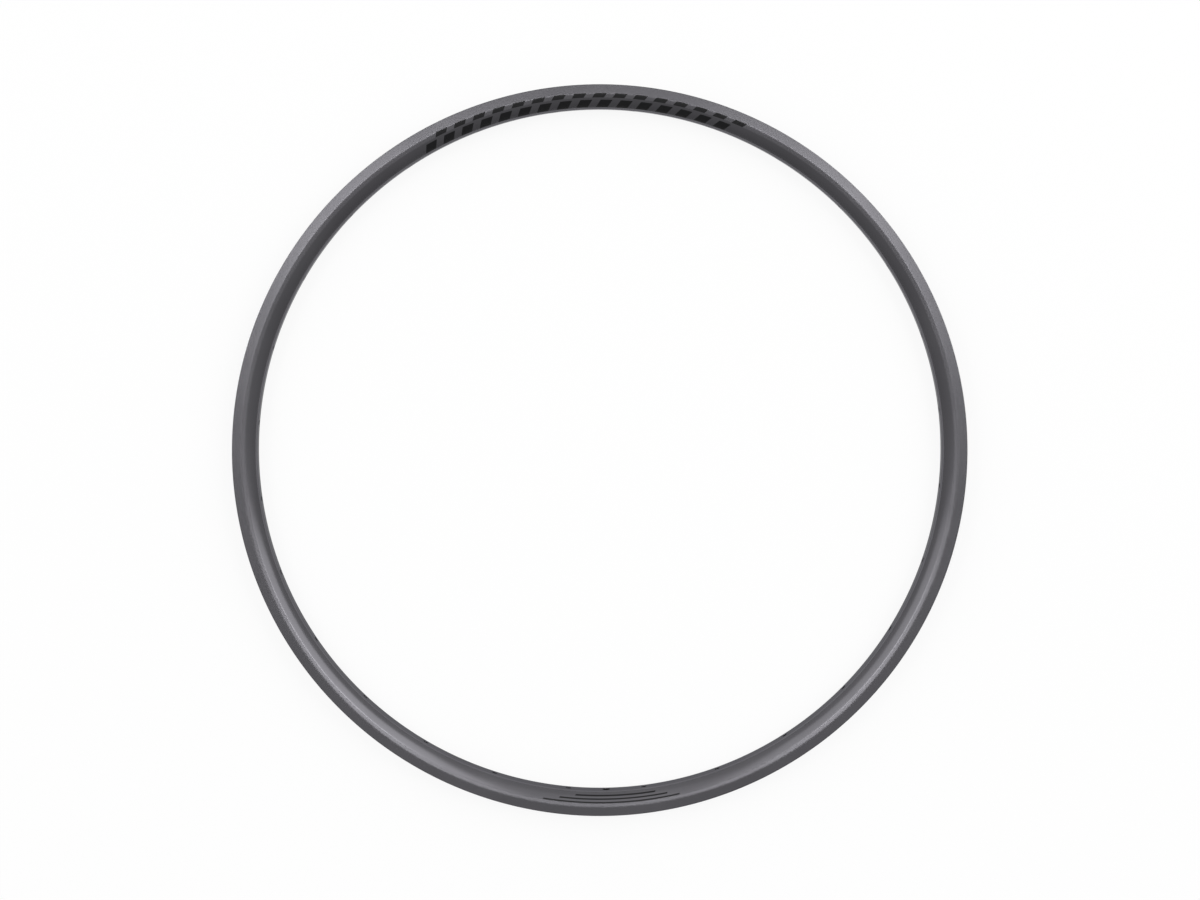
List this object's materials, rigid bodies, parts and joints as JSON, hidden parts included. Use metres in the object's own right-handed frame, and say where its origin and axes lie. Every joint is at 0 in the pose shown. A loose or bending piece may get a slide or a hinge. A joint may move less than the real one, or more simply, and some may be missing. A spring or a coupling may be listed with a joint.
{
  "type": "bicycle rim",
  "caption": "Bare double wall alloy bicycle rim with a hooked tyre channel, a rounded spoke bed, drilled spoke holes and a valve hole.",
  "frame": {"origin": "centre of the hoop, in its middle plane", "axes": "+Z along the axle line of the wheel, -Y towards the valve hole; the hoop lies flat"},
  "size_m": [0.6335, 0.6336, 0.0288],
  "materials": {
    "rim": "satin anodised, dark anthracite grey"
  },
  "bodies": {
    "root": {"rim": "rim"}
  },
  "joints": []
}
